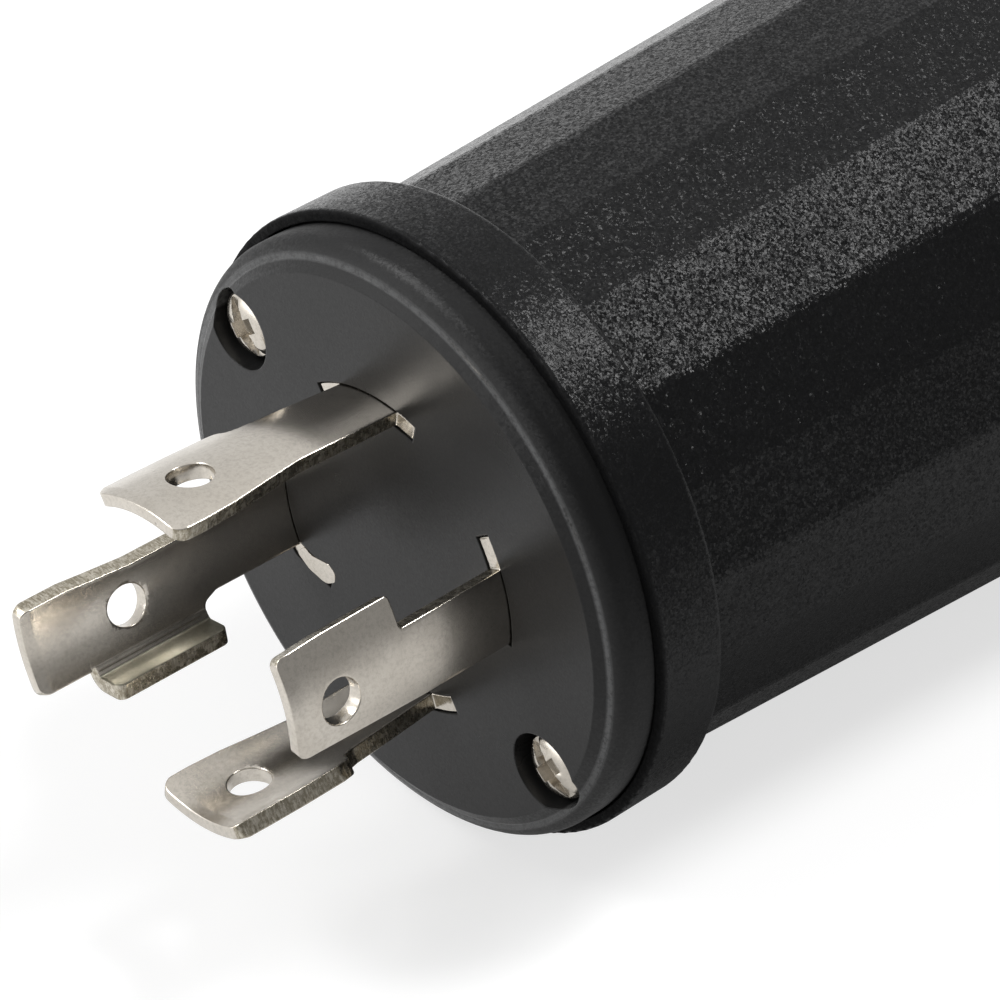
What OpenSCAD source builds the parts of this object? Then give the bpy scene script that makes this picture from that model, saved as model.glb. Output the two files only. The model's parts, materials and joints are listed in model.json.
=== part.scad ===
// Four-blade locking plug, rewireable, for a shore power cord.
// The plug lies on its side: its axis runs along Y and the blades point towards -Y.
// The origin is the centre of the flat mating face. Millimetres, degrees.
//
// Every module is built standing, with the blades upwards and depths below the mating
// face counted as negative z, and lay_down() then turns it onto its side. An angle
// round the plug runs from +X towards +Z once the plug lies down.

/* [Mating face] */
// Radius of the flat part of the mating face
face_r = 25.2; // [24.6:0.1:25.6]
// Radius of the insert's wall behind the rounded rim
insert_r = 27.8; // [27.5:0.1:27.8]
// Radius of the rounded rim
rim_round = 1.6; // [1.2:0.1:2]
// Fall from the mating face to the top of the rounded rim
rim_fall = 0.65; // [0.4:0.05:1]
// Thickness of the insert behind the mating face
insert_depth = 10; // [9:0.5:11]

/* [Housing] */
// Radius of the flange round the insert
flange_r = 29; // [28.8:0.1:30]
// Depth of the flange's front edge below the mating face
flange_front = 4.2; // [3.6:0.1:4.8]
// Depth of the flange's rear edge below the mating face
flange_rear = 11; // [10.5:0.5:12]
// Depth of the ledge that the insert sits on
ledge_depth = 7; // [6.5:0.1:7.5]
// Number of flats round the grip
flats = 20; // [16:2:24]
// Radius over the corners of the grip, at the flange
grip_front_r = 26.8; // [26.6:0.1:27.2]
// Growth of that radius for each millimetre towards the rear
grip_flare = 0.054; // [0.04:0.002:0.06]
// Depth at which the grip's rear shoulder begins
shoulder_depth = 74; // [70:1:80]
// Radius of the rear shoulder
shoulder_round = 5; // [4:0.5:6]
// Radius of the wiring chamber
chamber_r = 23.5; // [23:0.1:23.6]
// Thickness of the rear wall
rear_wall = 5; // [4:0.5:6]

/* [Blades] */
// Radius of the circle that the blades' outer faces lie on
blade_circle_r = 15.25; // [15.1:0.05:15.3]
// Thickness of a blade
blade_t = 1.5; // [1.4:0.05:1.6]
// Length of the neutral blade beyond the mating face
neutral_len = 22.5; // [22:0.1:24]
// Length of the two hot blades beyond the mating face
hot_len = 23.4; // [22:0.1:24]
// Length of the ground blade beyond the mating face
ground_len = 28; // [26:0.5:29]
// Height of the locking notch above the mating face
notch_h = 10.8; // [10:0.2:11.4]
// Diameter of the hole in each blade
blade_hole_d = 3.9; // [3.5:0.1:4.2]
// Height of that hole above the mating face
blade_hole_h = 17.8; // [17:0.1:18.4]
// Radius of the corners at a blade's tip
tip_round = 0.9; // [0.5:0.1:1.4]

/* [Terminals] */
// Depth of the terminal screws below the mating face
terminal_depth = 25; // [24:0.5:26]
// Width of a terminal tab
tab_w = 9.6; // [9:0.2:10]
// Radius of a terminal screw's shank
terminal_screw_r = 2; // [1.8:0.1:2]

/* [Assembly screws] */
// Radius of the circle that the two assembly screws stand on
assembly_r = 22.85; // [22.6:0.05:22.9]
// Diameter of an assembly screw's head
assembly_head_d = 5.5; // [5:0.1:6]
// Diameter of the recess round that head
assembly_recess_d = 7.4; // [7:0.1:7.8]
// Depth of an assembly screw's tip below the mating face
assembly_tip = 33; // [30:1:34]

/* [Cord end] */
// Radius of the cord that fits
cord_r = 9.25; // [8:0.05:9.4]
// Length of the cord clamp along the plug
clamp_len = 16; // [14:1:18]
// Distance of each clamp screw from the plug's axis
clamp_screw_x = 18.5; // [18:0.5:20]
// Travel of the clamp strap from open to closed
clamp_travel = 4.2; // [3:0.1:4.2]
// Radius of a clamp screw's shank
clamp_screw_r = 2; // [1.8:0.1:2]

/* [Hidden] */
$fn = 96;
// Running clearance between a screw and its thread, on the radius
thread_gap = 0.06;
// Clearance of a blade in its slot
slot_gap = 0.12;
// Small overlap that makes cuts run clean
eps = 0.5;
// The same for the cutters that round a corner
corner_slack = 0.03;

// Blade stations round the plug
neutral_at = 9;
hot_x_at = 98;
ground_at = 194.5;
hot_y_at = 276.5;
// Edges of a blade round its circle, counted from its hole
low_edge = -16;
neck_edge = 11.5;
hook_edge = 23;
ground_edge = 11;
ground_tip_edge = 16;
// Lower edges of the roots, which lie flush in the face, and of the blades above them
neutral_root = -16;
hot_root = -25;
ground_root = -18;
neutral_low = -15.2;
hot_low = -16.4;
ground_low = -14.8;
// Where such an edge starts to lean outwards, where it ends and by how much it leans
neutral_flare = [9, 20, -0.5];
hot_flare = [10, 19, 1.2];
ground_flare = [17, 23, 0.72];
neutral_neck_flare = [0.5, 9, 0.1];
hot_neck_flare = [0.5, 9, 0.9];
// Round in the corner of a locking notch
notch_round = 0.5;
// Room for the cutters beyond a blade's edge
edge_room = 8;
// Height of a blade's root in its slot, just under the mating face
root_top = -0.1;
// Reach of the ears that hold a blade behind the insert, beyond its root
ear_reach = 7;

blade_in_r = blade_circle_r - blade_t;
blade_mid_r = blade_circle_r - blade_t / 2;
slot_turn = slot_gap / blade_mid_r * 180 / PI;
// Folded tab of the ground blade: where it starts, its direction, its length and its top
fold_from = [13.9, 3.2];
fold_turn = 150;
fold_len = 4.4;
fold_top = 22.5;
// Slit between that tab and the blade's tip
fold_relief = 0.4;

// Depths behind the mating face
ear_depth = insert_depth + 2.2;
ear_room = 0.2;
window_gap = slot_gap + 0.05;
barrier_front = insert_depth;
barrier_floor = 15;
barrier_rear = 36;
barrier_r = 19;
strip_rear = 17;
tab_front = barrier_floor + 0.2;
tab_rear = 33;
tab_in_x = blade_in_r - 0.35;
tab_turn = -2.25;
barrier_post_r = 5;
barrier_wall_t = 1.6;
barrier_wall_from = barrier_post_r - 0.8;
barrier_wall_len = barrier_r - barrier_wall_from - 0.1;
barrier_wall_front = barrier_front + 1;
barrier_wall_rear = barrier_rear - 0.6;
barrier_wall_h = barrier_wall_rear - barrier_wall_front;
barrier_head_d = 5.6;
barrier_head_h = 2.4;
barrier_well_r = 3.3;

// Terminal hardware, radial places
terminal_tip_r = 7.2;
terminal_head_d = 7;
terminal_head_h = 2.2;
terminal_head_lift = 0.05;
plate_t = 2.4;
plate_w = 9;
plate_open_r = 8;
plate_groove_w = 0.9;
plate_groove_z = 3.2;

// Assembly hardware
assembly_at = [144, 324];
assembly_turn = [-22, -5];
assembly_screw_r = 1.5;
boss_r = 3.4;
boss_front = insert_depth + 0.2;
boss_rear = 36;
nut_front = 26;
nut_rear = 34;
nut_r = 2.3;
head_sink = 0.6;
head_h = 1.7;
recess_depth = 2.6;
post_screw_head_depth = 20.4;

// Housing
facet_turn = 360 / flats;
facet_half = facet_turn / 2;
grip_front_apothem = grip_front_r * cos(facet_half);
grip_tilt = atan(grip_flare * cos(facet_half));
grip_len = shoulder_depth - flange_rear;
grip_rear_r = grip_front_r + grip_flare * grip_len;
corner_softening = 0.05;
housing_rear = shoulder_depth + shoulder_round;
chamber_rear = housing_rear - rear_wall;
socket_r = insert_r + 0.2;
flange_front_round = 0.4;
flange_rear_round = 0.7;
cove_r = 0.9;

// Cord end
grommet_r = cord_r + 0.25;
rib_r = cord_r + 0.05;
cord_hole_r = cord_r + 2.75;
grommet_gap = 0.1;
grommet_flange_r = 15.2;
grommet_flange_t = 3;
grommet_lip_r = 13.4;
grommet_lip_t = 2;
clamp_rear = housing_rear + clamp_len;
trough_r = cord_r + 1.15;
grip_ribs = 3;
rib_pitch = 4;
rib_w = 1.4;
clamp_body_r = trough_r + 5;
saddle_lug_r = 7;
strap_lug_r = 6;
strap_front = housing_rear + grommet_lip_t + 1;
saddle_split = -2.4;
strap_split = saddle_split + clamp_travel + 0.4;
saddle_lug_h = 9.6;
strap_lug_h = 6;
clamp_nut_r = 3;
clamp_nut_len = 8;
clamp_nut_sink = 0.5;
clamp_head_d = 7.6;
clamp_head_h = 2.6;
clamp_tip_y = -8.5;
clamp_middle = (housing_rear + grommet_lip_t + clamp_rear) / 2;

// ---- helpers -----------------------------------------------------------------

// Turns a standing piece onto its side, blades towards -Y.
module lay_down() {
    rotate([90, 0, 0])
        children();
}

// A round bar along the plug's axis, from one depth to another.
module bar(r, from_depth, to_depth) {
    translate([0, 0, -to_depth])
        cylinder(r = r, h = to_depth - from_depth);
}

// A curved plate on the blades' circle, between two angles and two heights.
module curved_plate(in_r, out_r, from_a, to_a, from_z, to_z) {
    rotate([0, 0, from_a])
        rotate_extrude(angle = to_a - from_a)
            translate([in_r, from_z])
                square([out_r - in_r, to_z - from_z]);
}

// The strip that a blade is cut from.
module strip(from_a, to_a, from_z, to_z) {
    curved_plate(blade_in_r, blade_circle_r, from_a, to_a, from_z, to_z);
}

// What is cut away to round a strip's corner. side is 1 at the edge with the larger
// angle and -1 at the other, and end is 1 at a top corner and -1 at a bottom one.
module corner_cut(angle, z, side, end, r) {
    rotate([0, 0, angle])
        translate([blade_in_r - 1, 0, z])
            rotate([90, 0, 90])
                linear_extrude(blade_t + 2)
                    scale([side, end])
                        difference() {
                            translate([-r, -r])
                                square(r + eps);
                            translate([-r, -r])
                                circle(r + corner_slack);
                        }
}

// What is cut away beyond one edge of a strip, between two heights. side is 1 at the
// edge with the larger angle and -1 at the other. The edge leans by its flare.
module edge_cut(angle, side, from_z, to_z, flare) {
    centre = [flare[2] + notch_round, to_z - notch_round];
    rotate([0, 0, angle])
        translate([blade_in_r - 1, 0, 0])
            rotate([90, 0, 90])
                linear_extrude(blade_t + 2)
                    scale([side, 1])
                        polygon(concat(
                            [[0, from_z], [0, flare[0]], [flare[2], flare[1]]],
                            [for (a = [180:-30:90]) centre + notch_round * [cos(a), sin(a)]],
                            [[edge_room, to_z], [edge_room, from_z]]
                        ));
}

// A pan head with a cross recess and a slot, its top at z = 0.
module pan_head(d, h) {
    slot_w = d * 0.17;
    cross_w = d * 0.2;
    cut = h * 0.6;
    difference() {
        intersection() {
            translate([0, 0, -h])
                cylinder(d = d, h = h);
            translate([0, 0, -d * 1.2])
                sphere(d * 1.2);
        }
        translate([-d, -slot_w / 2, -cut / 2])
            cube([2 * d, slot_w, h]);
        for (turn = [0, 90])
            rotate([0, 0, turn])
                translate([-d * 0.3, -cross_w / 2, -cut])
                    cube([d * 0.6, cross_w, h]);
    }
}

// ---- blades ------------------------------------------------------------------

// Outline of the ground blade's folded tab with its round bend, seen along the plug.
module ground_fold(grow) {
    half = blade_t / 2 + grow;
    translate(fold_from) {
        circle(half);
        rotate(fold_turn)
            translate([0, -half])
                square([fold_len + grow, 2 * half]);
    }
}

// A block that cuts right through a strip, between two angles and two heights.
module cut_block(from_a, to_a, from_z, to_z) {
    curved_plate(blade_in_r - 1, blade_circle_r + 1, from_a, to_a, from_z, to_z);
}

// The flat tab that the terminal screw passes through, behind the insert.
module terminal_tab() {
    rotate([0, 0, tab_turn])
        difference() {
            translate([tab_in_x, -tab_w / 2, -tab_rear])
                cube([blade_t, tab_w, tab_rear - tab_front]);
            translate([blade_in_r - 1, 0, -terminal_depth])
                rotate([0, 90, 0])
                    cylinder(r = terminal_screw_r + 0.2, h = blade_t + 2);
        }
}

// The hole across a blade, which the locking ends share.
module blade_hole() {
    translate([blade_in_r - 1, 0, blade_hole_h])
        rotate([0, 90, 0])
            cylinder(d = blade_hole_d, h = blade_t + 2);
}

// What both kinds of blade have behind the insert: ears beyond the root's edges, and
// only the neck's width behind those ears. side_top is where the root's far side ends.
module root_cuts(root_from, root_to, neck_to, side_top) {
    far_from = root_from - ear_reach - 2;
    far_to = hook_edge + ear_reach + 2;
    cut_block(far_from, root_from, -insert_depth, root_top + eps);
    cut_block(root_to, far_to, -insert_depth, side_top);
    cut_block(far_from, low_edge, -strip_rear - 1, -ear_depth);
    cut_block(neck_to, far_to, -strip_rear - 1, -ear_depth);
}

// A line blade at angle 0: the locking end above the face, the flush root in the slot,
// the ears behind the insert and the terminal tab.
module line_blade(root_from, low, len, low_flare, neck_flare) {
    above = len + 2;
    difference() {
        union() {
            difference() {
                strip(root_from - ear_reach, hook_edge + ear_reach, -strip_rear, len);
                root_cuts(root_from, hook_edge, neck_edge, above);
                edge_cut(low, -1, root_top, above, low_flare);
                edge_cut(neck_edge, 1, root_top, notch_h, neck_flare);
            }
            terminal_tab();
        }
        blade_hole();
        tip_corner(low, -1, len, low_flare[2]);
        tip_corner(hook_edge, 1, len, 0);
        corner_cut(hook_edge, notch_h, 1, -1, tip_round / 2);
    }
}

// Rounds a tip's corner, where the edge leans out by its flare.
module tip_corner(angle, side, len, flare) {
    corner_cut(angle + side * flare / blade_mid_r * 180 / PI, len, side, 1, tip_round);
}

// The ground blade at angle 0: longer, with its hook folded inwards.
module ground_blade() {
    above = ground_len + 2;
    difference() {
        union() {
            difference() {
                strip(ground_root - ear_reach, ground_edge + ear_reach, -strip_rear, ground_len);
                root_cuts(ground_root, ground_edge, ground_edge, fold_top + fold_relief);
                edge_cut(ground_low, -1, root_top, above, ground_flare);
                cut_block(ground_tip_edge, hook_edge, fold_top, above);
            }
            translate([0, 0, notch_h])
                linear_extrude(fold_top - notch_h)
                    ground_fold(0);
            translate([0, 0, -ear_depth])
                linear_extrude(ear_depth + root_top)
                    ground_fold(0);
            terminal_tab();
        }
        blade_hole();
        tip_corner(ground_low, -1, ground_len, ground_flare[2]);
        tip_corner(ground_tip_edge, 1, ground_len, 0);
    }
}

module blade_neutral() {
    color("silver")
        lay_down()
            rotate([0, 0, neutral_at])
                line_blade(neutral_root, neutral_low, neutral_len, neutral_flare, neutral_neck_flare);
}

module blade_hot_x() {
    color("silver")
        lay_down()
            rotate([0, 0, hot_x_at])
                line_blade(hot_root, hot_low, hot_len, hot_flare, hot_neck_flare);
}

module blade_hot_y() {
    color("silver")
        lay_down()
            rotate([0, 0, hot_y_at])
                line_blade(hot_root, hot_low, hot_len, hot_flare, hot_neck_flare);
}

module blade_ground() {
    color("silver")
        lay_down()
            rotate([0, 0, ground_at])
                ground_blade();
}

// ---- front insert ------------------------------------------------------------

// Half section of the insert, radius across and height up.
module insert_section() {
    rim_x = insert_r - rim_round;
    rim_z = -rim_fall - rim_round;
    spigot_r = chamber_r - 0.3;
    difference() {
        polygon([
            [0, 0], [face_r, 0], [rim_x, -rim_fall], [insert_r, -rim_fall],
            [insert_r, -ledge_depth], [spigot_r, -ledge_depth], [spigot_r, -insert_depth],
            [0, -insert_depth]
        ]);
        difference() {
            translate([rim_x, rim_z])
                square(rim_round + eps);
            translate([rim_x, rim_z])
                circle(rim_round);
        }
    }
}

// A blade's slot through the insert, between the edges of its root.
module blade_slot(at, from_a, to_a) {
    rotate([0, 0, at])
        curved_plate(blade_in_r - slot_gap, blade_circle_r + slot_gap, from_a - slot_turn,
                     to_a + slot_turn, -insert_depth - eps, eps);
}

module front_insert() {
    color([0.16, 0.16, 0.17])
        lay_down()
            difference() {
                rotate_extrude()
                    insert_section();
                blade_slot(neutral_at, neutral_root, hook_edge);
                blade_slot(hot_x_at, hot_root, hook_edge);
                blade_slot(hot_y_at, hot_root, hook_edge);
                blade_slot(ground_at, ground_root, ground_edge);
                rotate([0, 0, ground_at])
                    translate([0, 0, -insert_depth - eps])
                        linear_extrude(insert_depth + 2 * eps)
                            ground_fold(slot_gap);
                for (at = assembly_at)
                    rotate([0, 0, at])
                        translate([assembly_r, 0, 0]) {
                            bar(assembly_screw_r + 0.3, -eps, insert_depth + eps);
                            bar(assembly_recess_d / 2, -eps, recess_depth);
                        }
                bar(assembly_screw_r + thread_gap, 4.5, insert_depth + eps);
            }
}

// ---- terminals ---------------------------------------------------------------

// Room for a blade in the front of the barrier, between two angles and down to a depth.
module pocket(from_a, to_a, depth, gap) {
    curved_plate(blade_in_r - gap, blade_circle_r + gap, from_a - slot_turn,
                 to_a + slot_turn, -depth, -barrier_front + eps);
}

// The moulding behind the insert: it holds the blades' ears and parts the terminals.
module terminal_barrier() {
    stations = [neutral_at, hot_x_at, ground_at, hot_y_at];
    next_stations = [hot_x_at, ground_at, hot_y_at, neutral_at + 360];
    root_from = [neutral_root, hot_root, ground_root, hot_root];
    root_to = [hook_edge, hook_edge, ground_edge, hook_edge];
    color([0.2, 0.2, 0.21])
        lay_down()
            difference() {
                union() {
                    bar(barrier_r, barrier_front, barrier_floor);
                    bar(barrier_post_r, barrier_front, barrier_rear);
                    for (i = [0:3])
                        rotate([0, 0, (stations[i] + next_stations[i]) / 2])
                            translate([barrier_wall_from, -barrier_wall_t / 2, -barrier_wall_rear])
                                cube([barrier_wall_len, barrier_wall_t, barrier_wall_h]);
                }
                for (i = [0:3])
                    rotate([0, 0, stations[i]]) {
                        pocket(root_from[i] - ear_reach, low_edge, ear_depth + ear_room, slot_gap);
                        pocket(neck_edge, root_to[i] + ear_reach, ear_depth + ear_room, slot_gap);
                        pocket(low_edge, neck_edge, barrier_floor + eps, window_gap);
                    }
                rotate([0, 0, ground_at])
                    translate([0, 0, -ear_depth - ear_room])
                        linear_extrude(ear_depth)
                            ground_fold(slot_gap);
                bar(assembly_screw_r + 0.2, barrier_front - eps, barrier_rear + eps);
                bar(barrier_well_r, post_screw_head_depth - barrier_head_h, barrier_rear + eps);
            }
}

module barrier_screw() {
    color("gainsboro")
        lay_down()
            union() {
                bar(assembly_screw_r, 5, post_screw_head_depth - 1);
                translate([0, 0, -post_screw_head_depth])
                    mirror([0, 0, 1])
                        pan_head(barrier_head_d, barrier_head_h);
            }
}

// A terminal screw at angle 0, pointing inwards through its tab.
module terminal_screw(at) {
    lay_down()
        rotate([0, 0, at + tab_turn])
            translate([0, 0, -terminal_depth])
                rotate([0, 90, 0]) {
                    translate([0, 0, terminal_tip_r])
                        cylinder(r = terminal_screw_r, h = blade_circle_r - terminal_tip_r + 0.5);
                    translate([0, 0, blade_circle_r + terminal_head_h + terminal_head_lift])
                        pan_head(terminal_head_d, terminal_head_h);
                }
}

module terminal_screw_neutral() {
    color("lightgray")
        terminal_screw(neutral_at);
}

module terminal_screw_hot_x() {
    color("goldenrod")
        terminal_screw(hot_x_at);
}

module terminal_screw_hot_y() {
    color("goldenrod")
        terminal_screw(hot_y_at);
}

module terminal_screw_ground() {
    color("seagreen")
        terminal_screw(ground_at);
}

// A pressure plate at angle 0, open. It moves outwards and clamps a wire on the tab.
module pressure_plate(at) {
    lay_down()
        rotate([0, 0, at + tab_turn])
            difference() {
                translate([plate_open_r, -plate_w / 2, -terminal_depth - plate_w / 2])
                    cube([plate_t, plate_w, plate_w]);
                translate([plate_open_r - 1, 0, -terminal_depth])
                    rotate([0, 90, 0])
                        cylinder(r = terminal_screw_r + thread_gap, h = plate_t + 2);
                for (dz = [-plate_groove_z, plate_groove_z])
                    translate([plate_open_r + plate_t, 0, dz - terminal_depth])
                        rotate([0, 45, 0])
                            cube([plate_groove_w, 2 * plate_w, plate_groove_w], center = true);
            }
}

module pressure_plate_neutral() {
    color("silver")
        pressure_plate(neutral_at);
}

module pressure_plate_hot_x() {
    color("silver")
        pressure_plate(hot_x_at);
}

module pressure_plate_hot_y() {
    color("silver")
        pressure_plate(hot_y_at);
}

module pressure_plate_ground() {
    color("silver")
        pressure_plate(ground_at);
}

// ---- assembly hardware -------------------------------------------------------

// Assembly screw 0 or 1, with its slot as the tool left it.
module assembly_screw(i) {
    lay_down()
        rotate([0, 0, assembly_at[i]])
            translate([assembly_r, 0, 0])
                rotate([0, 0, assembly_turn[i]]) {
                    bar(assembly_screw_r, head_sink + head_h - 0.4, assembly_tip);
                    translate([0, 0, -head_sink])
                        pan_head(assembly_head_d, head_h);
                }
}

module assembly_screw_upper() {
    color("gainsboro")
        assembly_screw(0);
}

module assembly_screw_lower() {
    color("gainsboro")
        assembly_screw(1);
}

module assembly_nut(at) {
    color("darkgoldenrod")
        lay_down()
            rotate([0, 0, at])
                translate([assembly_r, 0, 0])
                    difference() {
                        bar(nut_r, nut_front, nut_rear);
                        bar(assembly_screw_r + thread_gap, nut_front - eps, nut_rear + eps);
                    }
}

module assembly_nut_upper() {
    assembly_nut(assembly_at[0]);
}

module assembly_nut_lower() {
    assembly_nut(assembly_at[1]);
}

// ---- housing -----------------------------------------------------------------

// Half section of the flange ring, with both outer edges rounded and a cove behind it.
module flange_section() {
    foot_r = grip_front_apothem;
    translate([0, -flange_rear])
        square([flange_r - flange_rear_round, flange_rear - flange_front - flange_front_round]);
    translate([0, -flange_rear + flange_rear_round])
        square([flange_r, flange_rear - flange_front - flange_rear_round - flange_front_round]);
    translate([0, -flange_front - 1])
        square([flange_r - flange_front_round, 1]);
    translate([flange_r - flange_front_round, -flange_front - flange_front_round])
        circle(flange_front_round);
    translate([flange_r - flange_rear_round, -flange_rear + flange_rear_round])
        circle(flange_rear_round);
    difference() {
        translate([foot_r - 2, -flange_rear - cove_r])
            square([cove_r + 2, cove_r]);
        translate([foot_r + cove_r, -flange_rear - cove_r])
            circle(cove_r);
    }
}

// The flared grip before its flats are cut, a hair inside the sharp corners.
module grip_round() {
    front_r = grip_front_r - corner_softening;
    rear_r = grip_rear_r - corner_softening;
    rotate_extrude() {
        polygon([
            [0, -flange_rear + 1], [front_r, -flange_rear + 1], [front_r, -flange_rear],
            [rear_r, -shoulder_depth], [0, -shoulder_depth]
        ]);
        translate([0, -housing_rear])
            square([rear_r - shoulder_round, shoulder_round + 1]);
        intersection() {
            translate([rear_r - shoulder_round, -shoulder_depth])
                circle(shoulder_round);
            translate([0, -housing_rear])
                square([rear_r, shoulder_round]);
        }
    }
}

// What is cut away outside one flat of the grip.
module flat_cutter() {
    translate([grip_front_apothem, 0, -flange_rear])
        rotate([0, -grip_tilt, 0])
            translate([0, -flange_r / 2, -grip_len - 20])
                cube([flange_r, flange_r, grip_len + 22]);
}

module grip() {
    difference() {
        grip_round();
        for (i = [0:flats - 1])
            rotate([0, 0, i * facet_turn])
                flat_cutter();
    }
}

// Outline of one half of the cord clamp across the plug, below the split.
module clamp_outline(split, lug_h, lug_r) {
    half_w = clamp_screw_x + lug_r;
    difference() {
        union() {
            circle(clamp_body_r);
            translate([-half_w, split - lug_h])
                square([2 * half_w, lug_h]);
        }
        translate([-half_w - 1, split])
            square([2 * half_w + 2, clamp_body_r * 2]);
    }
}

// Plan of one half of the cord clamp, seen along the screws, with round ends. The
// corners at its front are square where it grows out of the housing.
module clamp_plan(from_depth, to_depth, lug_r, square_front) {
    translate([-clamp_screw_x, -to_depth])
        square([2 * clamp_screw_x, to_depth - from_depth]);
    for (side = [-1, 1])
        translate([side * clamp_screw_x, -clamp_middle]) {
            circle(lug_r);
            if (square_front)
                translate([-lug_r, 0])
                    square([2 * lug_r, clamp_middle - from_depth]);
        }
}

// Rings of grip ribs inside the clamp's trough.
module grip_rib_rings(split) {
    intersection() {
        for (i = [0:grip_ribs - 1])
            translate([0, 0, -clamp_middle + (i - (grip_ribs - 1) / 2) * rib_pitch - rib_w / 2])
                difference() {
                    cylinder(r = trough_r + 1, h = rib_w);
                    translate([0, 0, -eps])
                        cylinder(r = rib_r, h = rib_w + 2 * eps);
                }
        translate([-trough_r - 2, split - 40, -clamp_rear])
            cube([2 * trough_r + 4, 40, clamp_len]);
    }
}

// Half of the cord clamp, below its split, with its trough and grip ribs.
module clamp_half(split, lug_h, lug_r, from_depth, to_depth, square_front) {
    difference() {
        intersection() {
            translate([0, 0, -to_depth])
                linear_extrude(to_depth - from_depth)
                    clamp_outline(split, lug_h, lug_r);
            translate([0, clamp_body_r * 2, 0])
                rotate([90, 0, 0])
                    linear_extrude(clamp_body_r * 4)
                        clamp_plan(from_depth, to_depth, lug_r, square_front);
        }
        bar(trough_r, from_depth - eps, to_depth + eps);
    }
    grip_rib_rings(split);
}

// A hole along y at each clamp screw, from one height to another.
module clamp_holes(r, from_y, to_y) {
    for (side = [-1, 1])
        translate([side * clamp_screw_x, to_y, -clamp_middle])
            rotate([90, 0, 0])
                cylinder(r = r, h = to_y - from_y);
}

// The moulded shell: flange, faceted grip, wiring chamber, screw bosses and the fixed
// half of the cord clamp.
module housing() {
    color([0.13, 0.13, 0.14])
        lay_down()
            difference() {
                union() {
                    difference() {
                        union() {
                            rotate_extrude()
                                flange_section();
                            grip();
                        }
                        bar(socket_r, 0, ledge_depth);
                        bar(chamber_r, ledge_depth - eps, chamber_rear);
                    }
                    for (at = assembly_at)
                        rotate([0, 0, at])
                            translate([assembly_r, 0, 0])
                                bar(boss_r, boss_front, boss_rear);
                    clamp_half(saddle_split, saddle_lug_h, saddle_lug_r, housing_rear - 1, clamp_rear, true);
                }
                for (at = assembly_at)
                    rotate([0, 0, at])
                        translate([assembly_r, 0, 0]) {
                            bar(assembly_screw_r + 0.2, ledge_depth - eps, boss_rear + eps);
                            bar(nut_r, nut_front, nut_rear);
                        }
                bar(cord_hole_r, chamber_rear - eps, housing_rear + eps);
                bar(grommet_lip_r + 0.4, housing_rear, housing_rear + grommet_lip_t + 0.4);
                clamp_holes(clamp_nut_r, saddle_split - clamp_nut_sink - clamp_nut_len, 10);
                clamp_holes(clamp_screw_r + 0.3, -20, 0);
            }
}

// ---- cord end ----------------------------------------------------------------

// Rubber ring that seals the cord where it enters the rear wall.
module cord_grommet() {
    color([0.1, 0.1, 0.1])
        lay_down()
            difference() {
                union() {
                    bar(grommet_flange_r, chamber_rear - grommet_flange_t, chamber_rear);
                    bar(cord_hole_r - grommet_gap, chamber_rear - 1, housing_rear + 1);
                    bar(grommet_lip_r, housing_rear, housing_rear + grommet_lip_t);
                }
                bar(grommet_r, chamber_rear - grommet_flange_t - eps, housing_rear + grommet_lip_t + eps);
            }
}

// The loose half of the cord clamp, drawn down onto the cord by two screws.
module clamp_strap() {
    color([0.13, 0.13, 0.14])
        lay_down()
            difference() {
                mirror([0, 1, 0])
                    clamp_half(-strap_split, strap_lug_h, strap_lug_r, strap_front, clamp_rear - 1, false);
                clamp_holes(clamp_screw_r + 0.25, -20, 40);
                clamp_holes(clamp_head_d / 2 + 0.4, strap_split + strap_lug_h, 40);
            }
}

// A clamp screw, its head on the strap's lug.
module clamp_screw(side) {
    seat_y = strap_split + strap_lug_h;
    color("gainsboro")
        lay_down()
            translate([side * clamp_screw_x, 0, -clamp_middle])
                rotate([-90, 0, 0]) {
                    translate([0, 0, clamp_tip_y])
                        cylinder(r = clamp_screw_r, h = seat_y - clamp_tip_y + 0.5);
                    translate([0, 0, seat_y + clamp_head_h])
                        pan_head(clamp_head_d, clamp_head_h);
                }
}

module clamp_screw_left() {
    clamp_screw(-1);
}

module clamp_screw_right() {
    clamp_screw(1);
}

// A brass threaded insert in the fixed half of the clamp.
module clamp_nut(side) {
    top_y = saddle_split - clamp_nut_sink;
    color("darkgoldenrod")
        lay_down()
            translate([side * clamp_screw_x, top_y, -clamp_middle])
                rotate([90, 0, 0])
                    difference() {
                        cylinder(r = clamp_nut_r, h = clamp_nut_len);
                        translate([0, 0, -eps])
                            cylinder(r = clamp_screw_r + thread_gap, h = clamp_nut_len + 2 * eps);
                    }
}

module clamp_nut_left() {
    clamp_nut(-1);
}

module clamp_nut_right() {
    clamp_nut(1);
}

housing();
front_insert();
blade_neutral();
blade_hot_x();
blade_hot_y();
blade_ground();
terminal_barrier();
barrier_screw();
terminal_screw_neutral();
terminal_screw_hot_x();
terminal_screw_hot_y();
terminal_screw_ground();
pressure_plate_neutral();
pressure_plate_hot_x();
pressure_plate_hot_y();
pressure_plate_ground();
assembly_screw_upper();
assembly_screw_lower();
assembly_nut_upper();
assembly_nut_lower();
cord_grommet();
clamp_strap();
clamp_screw_left();
clamp_screw_right();
clamp_nut_left();
clamp_nut_right();
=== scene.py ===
import json
import math

import bmesh
import bpy
from mathutils import Matrix, Vector


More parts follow.
